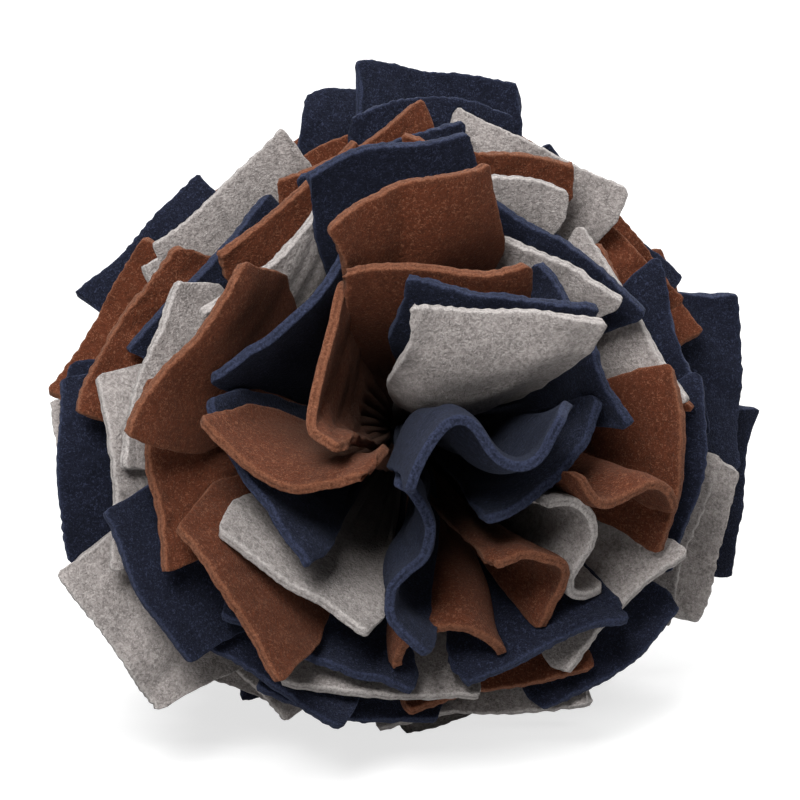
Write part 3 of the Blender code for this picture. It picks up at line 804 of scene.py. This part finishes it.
nylon = bpy.data.materials.new("black nylon")
nylon.use_nodes = True
nylon_nodes, nylon_links = nylon.node_tree.nodes, nylon.node_tree.links
plastic = nylon_nodes["Principled BSDF"]
plastic.inputs["Base Color"].default_value = NYLON_COLOUR
plastic.inputs["Specular IOR Level"].default_value = NYLON_SPECULAR
on_tie = nylon_nodes.new("ShaderNodeTexCoord")
grain = nylon_nodes.new("ShaderNodeTexNoise")
grain.inputs["Scale"].default_value = NYLON_GRAIN_PER_METRE
grain.inputs["Detail"].default_value = NYLON_GRAIN_DETAIL
dullness = nylon_nodes.new("ShaderNodeMapRange")
dullness.inputs["To Min"].default_value = NYLON_ROUGHNESSES[0]
dullness.inputs["To Max"].default_value = NYLON_ROUGHNESSES[1]
nylon_links.new(on_tie.outputs["Object"], grain.inputs["Vector"])
nylon_links.new(grain.outputs["Fac"], dullness.inputs["Value"])
nylon_links.new(dullness.outputs["Result"], plastic.inputs["Roughness"])
for slot in bpy.data.objects["waist_tie"].material_slots:
    slot.material = nylon

# The ball lies on a wide sheet of white paper, with nothing behind it. What the camera sees of the
# paper and the world is white by their own glow, and the paper keeps the ball's soft shadow.
PAPER_SIZE = 6.0
PAPER_GREY = 0.42
PAPER_ROUGHNESS = 0.9
PAPER_GLOW = 0.72
WORLD_LIGHT = 0.035
WHITE = (1.0, 1.0, 1.0, 1.0)


def seen_directly(tree):
    """1 for what the camera sees, also through glass or in a reflection."""
    path = tree.nodes.new("ShaderNodeLightPath")
    most = path.outputs["Is Camera Ray"]
    for label in ("Is Glossy Ray", "Is Transmission Ray"):
        larger = tree.nodes.new("ShaderNodeMath")
        larger.operation = "MAXIMUM"
        tree.links.new(most, larger.inputs[0])
        tree.links.new(path.outputs[label], larger.inputs[1])
        most = larger.outputs["Value"]
    return most


bpy.ops.object.select_all(action="DESELECT")
bpy.ops.mesh.primitive_plane_add(size=PAPER_SIZE)
floor = bpy.context.active_object
floor.name = "floor"
paper = bpy.data.materials.new("white paper")
paper.use_nodes = True
plain = paper.node_tree.nodes["Principled BSDF"]
plain.inputs["Base Color"].default_value = (PAPER_GREY, PAPER_GREY, PAPER_GREY, 1.0)
plain.inputs["Roughness"].default_value = PAPER_ROUGHNESS
plain.inputs["Specular IOR Level"].default_value = 0.0
plain.inputs["Emission Color"].default_value = WHITE
glow = paper.node_tree.nodes.new("ShaderNodeMath")
glow.operation = "MULTIPLY"
glow.inputs[1].default_value = PAPER_GLOW
paper.node_tree.links.new(seen_directly(paper.node_tree), glow.inputs[0])
paper.node_tree.links.new(glow.outputs["Value"], plain.inputs["Emission Strength"])
floor.data.materials.append(paper)

world = bpy.data.worlds.new("studio")
bpy.context.scene.world = world
world.use_nodes = True
sky = world.node_tree.nodes["Background"]
sky.inputs["Color"].default_value = WHITE
strength = world.node_tree.nodes.new("ShaderNodeMix")
strength.inputs["A"].default_value = WORLD_LIGHT
strength.inputs["B"].default_value = 1.0
world.node_tree.links.new(seen_directly(world.node_tree), strength.inputs["Factor"])
world.node_tree.links.new(strength.outputs["Result"], sky.inputs["Strength"])

# Three soft boxes light the ball: a strong one above the camera on the left, one over the ball, and
# one behind it, so that the back can be seen too. All point at the ball's middle.
LIT_HEIGHT = 0.09
SOFT_BOXES = (
    ("key", (-0.35, -1.25, 1.30), 0.7, 39.0),
    ("top", (0.3, 0.1, 1.6), 1.0, 14.0),
    ("back fill", (0.5, 1.3, 1.0), 1.0, 20.0),
)
for name, place, size, power in SOFT_BOXES:
    lamp = bpy.data.lights.new(name, "AREA")
    lamp.shape = "SQUARE"
    lamp.size = size
    lamp.energy = power
    holder = bpy.data.objects.new(name, lamp)
    bpy.context.scene.collection.objects.link(holder)
    holder.location = place
    toward = Vector((0.0, 0.0, LIT_HEIGHT)) - Vector(place)
    holder.rotation_euler = toward.to_track_quat("-Z", "Y").to_euler()

# The camera stands in front of the ball and a little above it, as for the photo
CAMERA_AIM = np.array((-0.0035, 0.0, 0.0890))
CAMERA_DISTANCE = 1.0
CAMERA_ELEVATION = math.radians(14.0)
SEEN_WIDTH = 0.2089
SENSOR_WIDTH_MM = 36.0

camera_data = bpy.data.cameras.new("camera")
camera = bpy.data.objects.new("camera", camera_data)
bpy.context.scene.collection.objects.link(camera)
bpy.context.scene.camera = camera
backward = np.array((0.0, -math.cos(CAMERA_ELEVATION), math.sin(CAMERA_ELEVATION)))
camera.location = CAMERA_AIM + CAMERA_DISTANCE * backward
camera.rotation_euler = (math.pi / 2.0 - CAMERA_ELEVATION, 0.0, 0.0)
camera_data.lens = SENSOR_WIDTH_MM * CAMERA_DISTANCE / SEEN_WIDTH

bpy.context.scene.view_settings.view_transform = "Standard"
